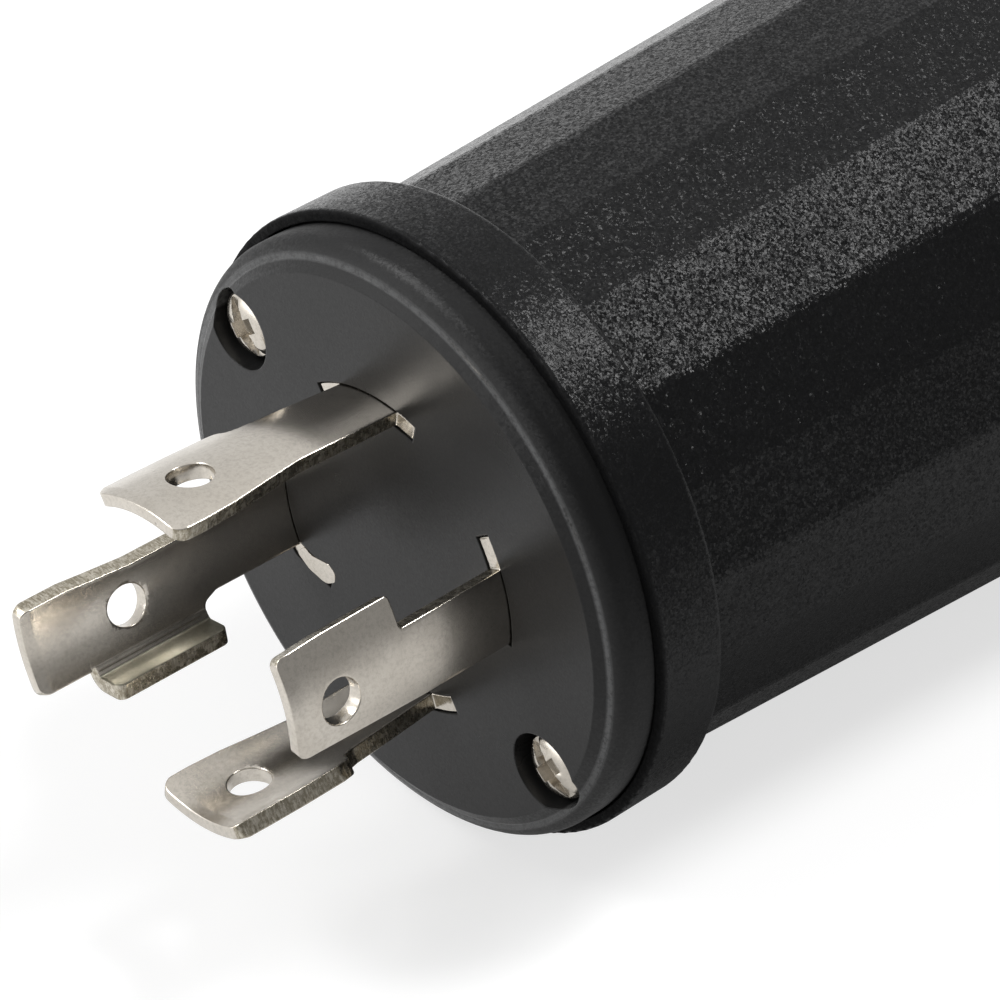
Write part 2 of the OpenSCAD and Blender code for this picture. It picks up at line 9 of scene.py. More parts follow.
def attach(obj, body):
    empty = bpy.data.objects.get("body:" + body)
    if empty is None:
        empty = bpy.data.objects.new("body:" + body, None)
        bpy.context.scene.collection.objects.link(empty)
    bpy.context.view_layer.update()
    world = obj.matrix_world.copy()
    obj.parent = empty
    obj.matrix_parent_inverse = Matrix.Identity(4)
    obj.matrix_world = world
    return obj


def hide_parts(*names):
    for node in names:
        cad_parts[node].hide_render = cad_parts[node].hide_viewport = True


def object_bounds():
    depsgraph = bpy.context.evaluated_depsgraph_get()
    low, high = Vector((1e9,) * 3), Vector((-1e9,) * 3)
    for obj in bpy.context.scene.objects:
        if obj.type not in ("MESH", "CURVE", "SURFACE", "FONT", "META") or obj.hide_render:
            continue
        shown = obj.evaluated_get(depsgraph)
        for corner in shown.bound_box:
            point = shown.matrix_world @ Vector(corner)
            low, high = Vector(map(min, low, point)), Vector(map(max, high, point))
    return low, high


MM = 0.001

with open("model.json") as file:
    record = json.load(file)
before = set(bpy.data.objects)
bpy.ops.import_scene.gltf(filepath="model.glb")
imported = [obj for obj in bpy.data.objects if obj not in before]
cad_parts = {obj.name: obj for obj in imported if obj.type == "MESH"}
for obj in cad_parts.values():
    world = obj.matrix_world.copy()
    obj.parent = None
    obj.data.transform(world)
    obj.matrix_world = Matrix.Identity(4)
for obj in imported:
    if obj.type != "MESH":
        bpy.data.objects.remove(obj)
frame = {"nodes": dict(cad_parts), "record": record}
cad_box = [list(corner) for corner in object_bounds()]
nodes = frame["nodes"]
floor_z = cad_box[0][2]

# ---- camera: the photograph's view ------------------------------------------------

CAMERA_AT = Vector((223.767, -174.839, 209.564)) * MM
FORWARD = Vector((-0.62165299, 0.52011145, -0.58568903)).normalized()
UP = Vector((-0.41301174, 0.41768896, 0.80929429))
LENS = 151.49
SENSOR = 36.0
CLIP = (0.01, 50.0)


def make_camera():
    data = bpy.data.cameras.new("camera")
    data.lens = LENS
    data.sensor_width = SENSOR
    data.clip_start, data.clip_end = CLIP
    camera = bpy.data.objects.new("camera", data)
    bpy.context.scene.collection.objects.link(camera)
    right = FORWARD.cross(UP).normalized()
    up = right.cross(FORWARD)
    turn = Matrix((right, up, -FORWARD)).transposed()
    camera.matrix_world = Matrix.Translation(CAMERA_AT) @ turn.to_4x4()
    bpy.context.scene.camera = camera


make_camera()

# ---- node trees -------------------------------------------------------------------


class Tree:
    """Short calls that add and join the nodes of one node tree."""

    def __init__(self, tree):
        self.tree = tree

    def put(self, socket, value):
        if hasattr(value, "is_linked"):
            self.tree.links.new(value, socket)
        else:
            socket.default_value = value

    def add(self, kind, inputs=None, **settings):
        node = self.tree.nodes.new(kind)
        for key, value in settings.items():
            setattr(node, key, value)
        for key, value in (inputs or {}).items():
            self.put(node.inputs[key], value)
        return node

    def math(self, operation, a, b=0.0):
        return self.add("ShaderNodeMath", {0: a, 1: b}, operation=operation).outputs[0]

    def vector_math(self, operation, a, b):
        return self.add("ShaderNodeVectorMath", {0: a, 1: b}, operation=operation).outputs[0]

    def part(self, vector, axis):
        return self.add("ShaderNodeSeparateXYZ", {0: vector}).outputs[axis]

    def ramp(self, value, low, high, to_low=0.0, to_high=1.0):
        """A soft step from one level to another; low may be above high."""
        limits = {"From Min": low, "From Max": high, "To Min": to_low, "To Max": to_high}
        node = self.add(
            "ShaderNodeMapRange", {"Value": value, **limits}, interpolation_type="SMOOTHSTEP"
        )
        return node.outputs["Result"]

    def step(self, value, places, to_low=0.0, to_high=1.0):
        """The same between two places in millimetres."""
        low, high = places
        return self.ramp(value, low * MM, high * MM, to_low, to_high)

    def mix(self, share, a, b):
        node = self.add("ShaderNodeMix", data_type="RGBA")
        self.put(node.inputs[0], share)
        self.put(node.inputs[6], a)
        self.put(node.inputs[7], b)
        return node.outputs[2]

    def noise(self, vector, scale, detail, rough):
        inputs = {"Vector": vector, "Scale": scale, "Detail": detail, "Roughness": rough}
        return self.add("ShaderNodeTexNoise", inputs).outputs["Fac"]

    def cells(self, vector, scale, output="Distance"):
        node = self.add("ShaderNodeTexVoronoi", {"Vector": vector, "Scale": scale})
        return node.outputs[output]

    def stretch(self, vector, scale):
        node = self.add("ShaderNodeMapping", {"Vector": vector, "Scale": scale})
        return node.outputs["Vector"]

    def bump(self, height, depth, strength=1.0, normal=None):
        """A bump whose height of one is a depth in millimetres."""
        inputs = {"Height": height, "Distance": depth * MM, "Strength": strength}
        if normal is not None:
            inputs["Normal"] = normal
        return self.add("ShaderNodeBump", inputs).outputs["Normal"]

    def lean(self, normal, way, amount):
        """Turns the normal towards a direction."""
        push = self.add("ShaderNodeVectorMath", {0: way, "Scale": amount}, operation="SCALE")
        both = self.vector_math("ADD", normal, push.outputs[0])
        node = self.add("ShaderNodeVectorMath", {0: both}, operation="NORMALIZE")
        return node.outputs[0]

    def facets(self, vector, scale, tilt, normal):
        """Tilts the normal another way in each small cell, like the grain of a rough mould."""
        cell = self.cells(vector, scale, "Color")
        return self.lean(normal, self.vector_math("SUBTRACT", cell, (0.5, 0.5, 0.5)), tilt)

    def soft_edges(self, radius):
        """The normal as if edges had a radius in millimetres."""
        node = self.add("ShaderNodeBevel", {"Radius": radius * MM}, samples=6)
        return node.outputs["Normal"]


def colour(r, g, b):
    return (r, g, b, 1.0)


def grey(level):
    return colour(level, level, level)


def new_material(name, **sockets):
    made = bpy.data.materials.new(name)
    made.use_nodes = True
    shader = made.node_tree.nodes["Principled BSDF"]
    for key, value in sockets.items():
        shader.inputs[key.replace("_", " ")].default_value = value
    tree = Tree(made.node_tree)
    place = tree.add("ShaderNodeTexCoord").outputs["Object"]
    return made, tree, shader.inputs, place


# ---- materials --------------------------------------------------------------------

# A texture's scale counts its features per metre, so 1000 gives one for each
# millimetre. The pairs are places in millimetres where a finish starts and where it
# is complete: along the housing from the mating face, and outwards on the insert.
# FLANGE_FRONT and INSERT_WALL also bound painted shade, and the bead a painted highlight.
FLANGE_FRONT = (4.5, 4.25)
GRIP_START = (11.0, 11.9)
GRIP_END = (79.5, 78.0)
GRIP_SMOOTHER = (15.0, 60.0)
INSERT_CHAMFER = (25.0, 25.3)
BEAD_START = (26.0, 26.2)
BEAD_END = (26.9, 26.5)
INSERT_WALL = (26.7, 27.3)

# The wall's draft: how far its normal leans towards the blades.
WALL_DRAFT = 0.42


def housing_material():
    """Black nylon: spark-eroded grain on the grip, a finer one on the flange and clamp,
    and painted shade on the flange's front face.
    """
    made, t, s, place = new_material("housing_black", Metallic=0.0, Specular_IOR_Level=0.11)
    along = t.part(place, "Y")
    coarse = t.math("MULTIPLY", t.step(along, GRIP_START), t.step(along, GRIP_END))
    big = t.noise(place, 1500.0, 3.0, 0.7)
    waves = t.bump(big, 0.035, 1.0, t.soft_edges(0.16))
    tilt = t.ramp(coarse, 0.0, 1.0, 0.2, 0.36)
    tilt = t.math("MULTIPLY", tilt, t.step(along, GRIP_SMOOTHER, 1.0, 0.72))
    grain = t.facets(place, 4300.0, tilt, waves)
    mottle = t.noise(place, 160.0, 4.0, 0.6)
    tone = t.mix(mottle, colour(0.0050, 0.0051, 0.0054), colour(0.0076, 0.0077, 0.0081))
    # The flange's front face, by the groove, gets a near-black colour: painted shade.
    front = t.step(along, FLANGE_FRONT)
    rough = t.ramp(big, 0.3, 0.7, 0.19, 0.31)
    t.put(s["Base Color"], t.mix(front, tone, colour(0.0016, 0.0016, 0.0018)))
    t.put(s["Roughness"], t.math("ADD", rough, t.math("MULTIPLY", front, 0.5)))
    t.put(s["Normal"], t.facets(place, 7300.0, 0.2, grain))
    return made


def insert_material():
    """Satin black moulding of the mating face, its rim grained round a smoother bead.

    The bead carries a painted highlight, and the wall is darkened as painted shade.
    """
    made, t, s, place = new_material("insert_black", Metallic=0.0, Specular_IOR_Level=0.22)
    fine = t.noise(place, 4200.0, 3.0, 0.6)
    flow = t.noise(place, 90.0, 3.0, 0.5)
    ripple = t.noise(place, 420.0, 3.0, 0.55)
    # Noise that breaks up the bead's painted highlight.
    highlight_breakup = t.ramp(t.noise(place, 2400.0, 3.0, 0.7), 0.25, 0.6, 0.35, 1.0)

    outwards = t.stretch(place, (1.0, 0.0, 1.0))
    r = t.add("ShaderNodeVectorMath", {0: outwards}, operation="LENGTH").outputs["Value"]
    wall = t.step(r, INSERT_WALL)
    bead = t.math("MULTIPLY", t.step(r, BEAD_START), t.step(r, BEAD_END))
    grained = t.math("SUBTRACT", t.step(r, INSERT_CHAMFER), t.math("MULTIPLY", bead, 0.9))
    bead = t.math("MULTIPLY", bead, highlight_breakup)

    tone = t.mix(flow, colour(0.0105, 0.0105, 0.0108), colour(0.0150, 0.0149, 0.0150))
    # The bead's far lighter grey, broken up by noise, is a painted highlight.
    tone = t.mix(bead, tone, colour(0.088, 0.089, 0.090))
    # The wall, in the groove by the flange, is mixed to a darker grey: painted shade.
    t.put(s["Base Color"], t.mix(wall, tone, colour(0.0042, 0.0042, 0.0044)))
    plain = t.ramp(flow, 0.3, 0.7, 0.27, 0.36)
    changed = t.math("SUBTRACT", t.math("MULTIPLY", grained, 0.1), t.math("MULTIPLY", bead, 0.2))
    t.put(s["Roughness"], t.math("ADD", plain, changed))
    even = t.bump(ripple, 0.02, 0.5, t.soft_edges(0.2))
    draft = t.math("MULTIPLY", wall, WALL_DRAFT)
    drafted = t.lean(t.bump(fine, 0.010, 1.0, even), (0.0, -1.0, 0.0), draft)
    tilt = t.ramp(grained, 0.0, 1.0, 0.035, 0.13)
    t.put(s["Normal"], t.facets(place, 5200.0, tilt, drafted))
    return made


def plain_material(name, dark, light, flow, fine, rough, depth, edge):
    """A dark moulding with a mottled tone, an uneven sheen and a fine grain."""
    made, t, s, place = new_material(name, Metallic=0.0)
    mottle = t.noise(place, *flow)
    t.put(s["Base Color"], t.mix(mottle, colour(*dark), colour(*light)))
    t.put(s["Roughness"], t.ramp(mottle, 0.3, 0.7, *rough))
    t.put(s["Normal"], t.bump(t.noise(place, *fine), depth, 1.0, t.soft_edges(edge)))
    return made


def plated_material(name, light, dark, rough=(0.19, 0.27), edge=0.06):
    """Satin plated metal with faint orange peel, rare pits and thin scratches."""
    made, t, s, place = new_material(name, Metallic=1.0)
    peel = t.noise(place, 1100.0, 2.0, 0.5)
    cloud = t.noise(place, 170.0, 3.0, 0.5)
    scratches = t.noise(t.stretch(place, (5200.0, 160.0, 5200.0)), 1.0, 2.0, 0.5)
    rare = t.ramp(t.noise(place, 230.0, 1.0, 0.5), 0.60, 0.66)
    pits = t.math("MULTIPLY", rare, t.ramp(t.cells(place, 780.0), 0.13, 0.06))
    height = t.math("ADD", t.math("MULTIPLY", peel, 0.5), t.math("MULTIPLY", scratches, 0.25))
    height = t.math("SUBTRACT", height, t.math("MULTIPLY", pits, 1.5))
    mottle = t.ramp(t.noise(place, 2600.0, 4.0, 0.75), 0.42, 0.68, 0.0, 0.3)
    plate = t.mix(t.ramp(cloud, 0.3, 0.75), colour(*light), colour(*dark))
    plate = t.mix(mottle, plate, colour(*(0.55 * c for c in dark)))
    t.put(s["Base Color"], t.mix(pits, plate, colour(*(0.6 * c for c in dark))))
    t.put(s["Roughness"], t.ramp(cloud, 0.3, 0.7, *rough))
    t.put(s["Normal"], t.bump(height, 0.004, 1.0, t.soft_edges(edge)))
    return made


def sheared_material(name, light, dark):
    """The sheared edge of plated sheet, torn in fine lines across the sheet's thickness."""
    made, t, s, place = new_material(name, Metallic=1.0)
    tear = t.noise(t.stretch(place, (1300.0, 6000.0, 1300.0)), 1.0, 3.0, 0.7)
    patch = t.noise(place, 1500.0, 4.0, 0.75)
    both = t.math("ADD", t.math("MULTIPLY", tear, 0.6), t.math("MULTIPLY", patch, 0.4))
    t.put(s["Base Color"], t.mix(t.ramp(both, 0.42, 0.62), colour(*dark), colour(*light)))
    t.put(s["Roughness"], t.ramp(patch, 0.3, 0.7, 0.2, 0.36))
    t.put(s["Normal"], t.bump(both, 0.018))
    return made


# Plated metals, the lighter and the darker tone of each.
NICKEL = ((0.60, 0.56, 0.50), (0.54, 0.50, 0.44))
STEEL = ((0.60, 0.56, 0.50), (0.44, 0.40, 0.35))
BRASS = ((0.72, 0.49, 0.19), (0.58, 0.36, 0.12))
GREEN = ((0.10, 0.34, 0.13), (0.06, 0.23, 0.09))
# The next pair is the nickel darkened as painted shade, for the inside of the ground blade's fold.
FOLD_SHADE = ((0.33, 0.32, 0.27), (0.22, 0.21, 0.165))
SHEARED = ((0.58, 0.54, 0.46), (0.27, 0.24, 0.18))

# The finish of each material slot of the record.
FINISH = {
    "housing_black": housing_material(),
    "insert_black": insert_material(),
    "barrier_dark": plain_material(
        "barrier_dark", (0.022, 0.022, 0.023), (0.032, 0.032, 0.034),
        flow=(120.0, 3.0, 0.5), fine=(4200.0, 2.0, 0.5), rough=(0.45, 0.6), depth=0.01, edge=0.15,
    ),
    "grommet_rubber": plain_material(
        "grommet_rubber", (0.014, 0.014, 0.015), (0.030, 0.030, 0.031),
        flow=(260.0, 4.0, 0.6), fine=(3600.0, 2.0, 0.6), rough=(0.62, 0.8), depth=0.012, edge=0.3,
    ),
    "blade_nickel": plated_material("blade_nickel", *NICKEL),
    "screw_nickel": plated_material("screw_nickel", *NICKEL, rough=(0.12, 0.3), edge=0.03),
    "terminal_silver": plated_material("terminal_silver", *STEEL),
    "terminal_brass": plated_material("terminal_brass", *BRASS),
    "terminal_green": plated_material("terminal_green", *GREEN, rough=(0.25, 0.4)),
    "plate_steel": plated_material("plate_steel", *STEEL, rough=(0.25, 0.42)),
    "insert_brass": plated_material("insert_brass", *BRASS, rough=(0.25, 0.4)),
}
# A darker copy of the nickel for the inside of the fold: painted shade.
blade_fold_shade = plated_material("blade_fold_shade", *FOLD_SHADE, rough=(0.34, 0.5))
blade_edge = sheared_material("blade_edge", *SHEARED)

for part in frame["record"]["subparts"]:
    mesh = nodes[part["node"]].data
    mesh.materials.clear()
    mesh.materials.append(FINISH[part["material_slot"]])

# ---- pieces -----------------------------------------------------------------------

# Pieces are made in millimetres with the plug standing: the blades point up along z
# and the mating face is at z = 0. This lays them down into the frame.
LAY_DOWN = Matrix.Rotation(math.radians(90), 4, "X")


def spin(bm, degrees):
    """Turns a mesh about z."""
    turn = Matrix.Rotation(math.radians(degrees), 3, "Z")
    bmesh.ops.rotate(bm, verts=bm.verts, matrix=turn)


def skin(bm, rings):
    """Faces between neighbouring rings of vertices, each either whole or a single point."""
    for low, high in zip(rings, rings[1:]):
        count = max(len(low), len(high))
        for k in range(count):
            n = (k + 1) % count
            corners = [low[k % len(low)], low[n % len(low)]]
            corners += [high[n % len(high)], high[k % len(high)]]
            bm.faces.new(list(dict.fromkeys(corners)))
    bmesh.ops.recalc_face_normals(bm, faces=bm.faces)


def add_piece(name, bm, materials, body, slot, *replaced):
    """Turns a standing mesh in millimetres into a piece that rides on a body."""
    mesh = bpy.data.meshes.new(name)
    bm.to_mesh(mesh)
    bm.free()
    mesh.transform(LAY_DOWN @ Matrix.Scale(MM, 4))
    for m in materials:
        mesh.materials.append(m)
    piece = bpy.data.objects.new(name, mesh)
    bpy.context.scene.collection.objects.link(piece)
    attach(piece, body)
    if replaced:
        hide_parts(*replaced)
    weighted = piece.modifiers.new("normals", "WEIGHTED_NORMAL")
    weighted.keep_sharp = True
    return piece


# ---- blades -----------------------------------------------------------------------

# The sheet, and the circle that the blades' outer faces lie on.
CIRCLE_R = 15.25
SHEET_T = 1.5
MID_R = CIRCLE_R - SHEET_T / 2
EDGE_ROUND = 0.12

# Heights above the mating face, which is 0, and depths below it.
NOTCH_H = 10.8
HOLE_H = 17.8
FOLD_TOP = 22.5
ROOT_TOP = -0.1
INSERT_DEPTH = 10.0
EAR_DEPTH = 12.2
WAIST_DEPTH = 15.2
TERMINAL_DEPTH = 25.0
HOLE_D = 3.9
TERMINAL_HOLE_D = 4.4

# A blade is curved as far as BEND_FROM, and its terminal's tab behind is flat.
BEND_FROM = -13.0
TAB_HALF = 4.8
TAB_FRONT = 16.0
TAB_REAR = 33.0
TAB_X = 14.15
TAB_TURN = -2.25

# The last millimetre of a blade is thinner by a quarter. A root is thicker from
# SWELL_FROM up to SWELL_TOP, so that it fills its slot, and from an angle round the
# plug onwards, so that its low end stands clear.
LEAD = 1.0
LEAD_THINNER = 0.25
SWELL = 0.09
SWELL_FROM = -2.5
SWELL_TOP = -0.12
SWELL_FADE = 0.15
SWELL_TURN = -13
SWELL_TURN_FADE = 1.5

# Lines that the folding tool left inside the ground blade's bend, from a distance
# along the sheet.
GROOVE_FROM = 3.7
GROOVE_PITCH = 0.45
GROOVE_DEPTH = 0.045
GROOVE_COUNT = 2

# Widths that the sheet is cut into before it bends: along the tab and the blade, round
# the plug from an angle in degrees, in the root's fold and in the tool's lines.
TAB_STEP = 0.5
BLADE_STEP = 0.55
ROUND_FROM = -33
ROUND_STEP = 0.42
FOLD_FROM = 10
FOLD_WIDTH = 1.2
FOLD_STEP = 0.15
GROOVE_WIDTH = 2.46
GROOVE_STEP = 0.06

# A face belongs to a sheared wall if its normal lies this flat in the sheet, and a
# point to the sheet's inner side if it is this far from the middle.
WALL_NORMAL = 0.6
INNER_SIDE = -0.4

# Folds of the ground blade: where the bend starts in degrees, its radius, the
# direction after it in degrees, and the straight length that follows. The first is
# the blade's root in its slot, the second its hook.
ROOT_FOLD = (9.84, 1.2, 150.0, 4.17)
HOOK_FOLD = (18.3, 1.0, 174.0, 2.45)

# Outlines of the blades above the mating face: degrees round the plug, height and
# corner radius, from the low side's root over the tip to the high side's root.
NEUTRAL_TIP = 22.5
NEUTRAL_ABOVE = [
    (-15.2, 9.0, 6.0), (-13.3, 20.5, 6.0), (-13.1, NEUTRAL_TIP, 0.8),
    (22.3, NEUTRAL_TIP, 0.8), (23.0, 18.0, 6.0), (23.0, NOTCH_H, 0.4),
    (11.6, NOTCH_H, 0.3),
]
HOT_TIP = 23.4
HOT_ABOVE = [
    (-16.4, 10.0, 5.0), (-18.1, 13.6, 5.0), (-20.0, 17.2, 5.0), (-20.9, 20.4, 3.0),
    (-21.1, HOT_TIP, 1.2), (22.2, HOT_TIP, 1.2), (23.6, 20.0, 4.0), (24.4, 16.6, 3.0),
    (24.4, 12.6, 1.0), (22.8, 11.1, 0.9), (17.6, 10.8, 0.5), (16.0, 9.6, 0.5),
    (13.6, 4.5, 5.0), (11.8, 0.9, 2.0),
]
GROUND_TIP = 28.0
GROUND_LOW = [
    (-14.6, 16.6, 5.0), (-16.2, 20.8, 5.0), (-17.4, 23.4, 3.0), (-17.4, GROUND_TIP, 0.9),
]


def on_arc(degrees):
    """Distance along the middle of the sheet, from an angle round the plug."""
    return MID_R * math.radians(degrees)


# Distances along the sheet that the three line blades share below the face.
NECK = on_arc(11.5)
HOOK_ROOT = on_arc(23)
EAR = on_arc(7)


def rounded(corners):
    """Outline through (across, up, radius) corners, each rounded with an arc."""
    outline = []
    count = len(corners)
    for i, (x, y, r) in enumerate(corners):
        here = Vector((x, y))
        before = Vector(corners[i - 1][:2])
        after = Vector(corners[(i + 1) % count][:2])
        if r == 0:
            outline.append(here)
            continue
        a, b = (before - here).normalized(), (after - here).normalized()
        half = a.angle(b) / 2
        centre = here + (a + b).normalized() * (r / math.sin(half))
        start, end = here + a * (r / math.tan(half)), here + b * (r / math.tan(half))
        steps = 6 if r > 0.3 else 3
        first = math.atan2(start.y - centre.y, start.x - centre.x)
        turn = math.atan2(end.y - centre.y, end.x - centre.x) - first
        turn = (turn + math.pi) % (2 * math.pi) - math.pi
        for k in range(steps + 1):
            angle = first + turn * k / steps
            outline.append(centre + Vector((math.cos(angle), math.sin(angle))) * r)
    return outline


def ring(x, y, d, count=48):
    angles = [2 * math.pi * k / count for k in range(count)]
    return [Vector((x + d / 2 * math.cos(a), y + d / 2 * math.sin(a))) for a in angles]


def sheet_blank(outlines):
    """A flat plate with rounded edges: across is x, up is y and its thickness is z."""
    curve = bpy.data.curves.new("blank", "CURVE")
    curve.dimensions = "2D"
    curve.fill_mode = "BOTH"
    curve.extrude = SHEET_T / 2 - EDGE_ROUND
    curve.bevel_depth = EDGE_ROUND
    curve.bevel_resolution = 2
    curve.offset = -EDGE_ROUND
    for outline in outlines:
        spline = curve.splines.new("POLY")
        spline.points.add(len(outline) - 1)
        for point, at in zip(spline.points, outline):
            point.co = (at.x, at.y, 0, 1)
        spline.use_cyclic_u = True
    holder = bpy.data.objects.new("blank", curve)
    bpy.context.scene.collection.objects.link(holder)
    bpy.context.view_layer.update()
    ready = holder.evaluated_get(bpy.context.evaluated_depsgraph_get())
    mesh = bpy.data.meshes.new_from_object(ready)
    bpy.data.objects.remove(holder)
    bpy.data.curves.remove(curve)
    bm = bmesh.new()
    bm.from_mesh(mesh)
    bpy.data.meshes.remove(mesh)
    bmesh.ops.remove_doubles(bm, verts=bm.verts, dist=1e-4)
    return bm


def slice_along(bm, axis, places):
    """Cuts a plate's faces at these places across one axis, so that it can bend there."""
    normal = Vector((0, 0, 0))
    normal[axis] = 1
    for place in places:
        geometry = bm.verts[:] + bm.edges[:] + bm.faces[:]
        bmesh.ops.bisect_plane(bm, geom=geometry, plane_co=normal * place, plane_no=normal)


def steps_between(low, high, step):
    count = max(1, round((high - low) / step))
    return [low + (high - low) * k / count for k in range(count + 1)]


def smooth(x):
    x = min(1.0, max(0.0, x))
    return x * x * (3 - 2 * x)


def on_line_path(across, out):
    """Place of the curved sheet round the plug: the blades' circle."""
    angle = across / MID_R
    r = MID_R + out
    return Vector((r * math.cos(angle), r * math.sin(angle)))


def on_fold_path(across, out, fold):
    """The same with the ground blade's edge folded inwards."""
    first, radius, direction, _ = fold
    start = on_arc(first)
    if across <= start:
        return on_line_path(across, out)
    heading = math.radians(90 + first)
    turn_all = math.radians(direction) - heading
    centre = on_line_path(start, 0) - Vector((math.sin(heading), -math.cos(heading))) * radius
    turned = min((across - start) / radius, turn_all)
    heading += turned
    right = Vector((math.sin(heading), -math.cos(heading)))
    forward = Vector((math.cos(heading), math.sin(heading)))
    beyond = max(0.0, across - start - turn_all * radius)
    return centre + right * (radius + out) + forward * beyond


def fold_end(fold):
    """Where the folded edge of the flat blank ends."""
    first, radius, direction, straight = fold
    return on_arc(first) + math.radians(direction - 90 - first) * radius + straight


def fold_groove(across, up):
    """Depth of the fine lines that the folding tool left inside the bend."""
    turned = (across - GROOVE_FROM) / GROOVE_PITCH
    if not 0 < turned < GROOVE_COUNT or not NOTCH_H < up < FOLD_TOP:
        return 0.0
    return GROOVE_DEPTH * math.sin(math.pi * turned) ** 2


def root_swell(across, up):
    """A blade fills its slot in the mating face, apart from its low end."""
    below = smooth((SWELL_TOP - up) / SWELL_FADE)
    return SWELL * below * smooth((across - on_arc(SWELL_TURN)) / SWELL_TURN_FADE)


def bend_blade(bm, folded, tip, lean):
    """Bends a blank round the plug, leans it outwards and thins its tip to a lead-in."""
    turn = math.radians(TAB_TURN)
    side = Vector((math.cos(turn), math.sin(turn)))
    onward = Vector((-math.sin(turn), math.cos(turn)))
    for v in bm.verts:
        across, up, out = v.co
        out *= 1 - LEAD_THINNER * max(0.0, up - (tip - LEAD)) / LEAD
        if SWELL_FROM < up < 0:
            out *= 1 + root_swell(across, up)
        if folded and out < INNER_SIDE:
            out += fold_groove(across, up)
        if folded and up < FOLD_TOP + 0.2:
            curved = on_fold_path(across, out, HOOK_FOLD if up > 0 else ROOT_FOLD)
        else:
            curved = on_line_path(across, out)
        curved += Vector((lean * max(0.0, up), 0))
        flat = side * (TAB_X + out) + onward * (across - on_arc(TAB_TURN))
        share = smooth((BEND_FROM - up) / (TAB_FRONT + BEND_FROM))
        at = curved.lerp(flat, share)
        v.co = (at.x, at.y, up)


def mark_edges(bm, folded, tip):
    """Gives a blank's sheared walls the second material and a fold's inside the third,
    a darker copy of the nickel that is painted shade.

    The blade's end, its flush root and the wall of its hole stay plated.
    """
    for face in bm.faces:
        middle = face.calc_center_median()
        is_wall = abs(face.normal.z) < WALL_NORMAL
        at_end = middle.y > tip - 0.1 or abs(middle.y - ROOT_TOP) < 0.12
        plated_end = at_end and face.normal.y > 0.5
        in_hole = (middle.xy - Vector((0, HOLE_H))).length < HOLE_D / 2 + 0.1
        beyond_bend = middle.x > on_arc(HOOK_FOLD[0]) and middle.y < FOLD_TOP
        if folded and not is_wall and middle.z < 0 and beyond_bend:
            face.material_index = 2
        elif is_wall and not plated_end and not in_hole:
            face.material_index = 1
        face.smooth = True


def finish_blade(name, bm, station, node):
    bmesh.ops.recalc_face_normals(bm, faces=bm.faces)
    spin(bm, station)
    looks = [FINISH["blade_nickel"], blade_edge, blade_fold_shade]
    add_piece(name, bm, looks, "plug_body", "blade_nickel", node)


def ear_and_waist(inner, ear, outer):
    """Corners where a side of a blade steps out to its ear and in again to its waist."""
    corners = [(inner, -INSERT_DEPTH, 0.2), (ear, -INSERT_DEPTH, 0.2)]
    return corners + [(ear, -EAR_DEPTH, 0.2), (outer, -EAR_DEPTH, 0.2), (outer, -WAIST_DEPTH, 0)]


def tab_and_low_side(low, inner, ear):
    """Corners of a blade's tab, and of the side that runs back up from it."""
    middle = on_arc(TAB_TURN)
    tab = [(middle + TAB_HALF, -TAB_FRONT, 0.5), (middle + TAB_HALF, -TAB_REAR, 0.6)]
    tab += [(middle - TAB_HALF, -TAB_REAR, 0.6), (middle - TAB_HALF, -TAB_FRONT, 0.5)]
    return tab + ear_and_waist(inner, ear, low)[::-1]


def low_slot(low, root_low):
    """Corners of a root that is wider than its blade at the low side."""
    return [(root_low, ROOT_TOP, 0.2), (low, ROOT_TOP, 0.15)]


def cut_and_bend(corners, folded, tip, high, lean):
    terminal_hole = ring(on_arc(TAB_TURN), -TERMINAL_DEPTH, TERMINAL_HOLE_D)
    bm = sheet_blank([rounded(corners), ring(0, HOLE_H, HOLE_D), terminal_hole])
    edges = [SWELL_FROM, SWELL_TOP, -0.02, 0.03, tip - 0.6, tip - 0.3]
    levels = steps_between(-TAB_FRONT, BEND_FROM, TAB_STEP)
    levels += steps_between(0.0, tip - LEAD, BLADE_STEP)
    slice_along(bm, 1, edges + levels)
    slice_along(bm, 0, steps_between(on_arc(ROUND_FROM), high, ROUND_STEP))
    if folded:
        fold = on_arc(FOLD_FROM)
        slice_along(bm, 0, steps_between(fold, fold + FOLD_WIDTH, FOLD_STEP))
        slice_along(bm, 0, steps_between(GROOVE_FROM, GROOVE_FROM + GROOVE_WIDTH, GROOVE_STEP))
    bm.normal_update()
    mark_edges(bm, folded, tip)
    bend_blade(bm, folded, tip, lean)
    return bm


def line_blade(name, station, node, above, tip, root_from, lean):
    """One of the three curved blades, its root flush in the mating face."""
    low, root_low = on_arc(above[0][0]), on_arc(root_from)
    is_wider = root_low < low - 0.4
    corners = [(on_arc(a), up, r) for a, up, r in above]
    corners += [(NECK, ROOT_TOP, 0.15), (HOOK_ROOT, ROOT_TOP, 0.2)]
    corners += ear_and_waist(HOOK_ROOT, HOOK_ROOT + EAR, NECK)
    corners += tab_and_low_side(low, root_low if is_wider else low, root_low - EAR)
    if is_wider:
        corners += low_slot(low, root_low)
    corners.reverse()
    bm = cut_and_bend(corners, False, tip, HOOK_ROOT + EAR, lean)
    finish_blade(name, bm, station, node)


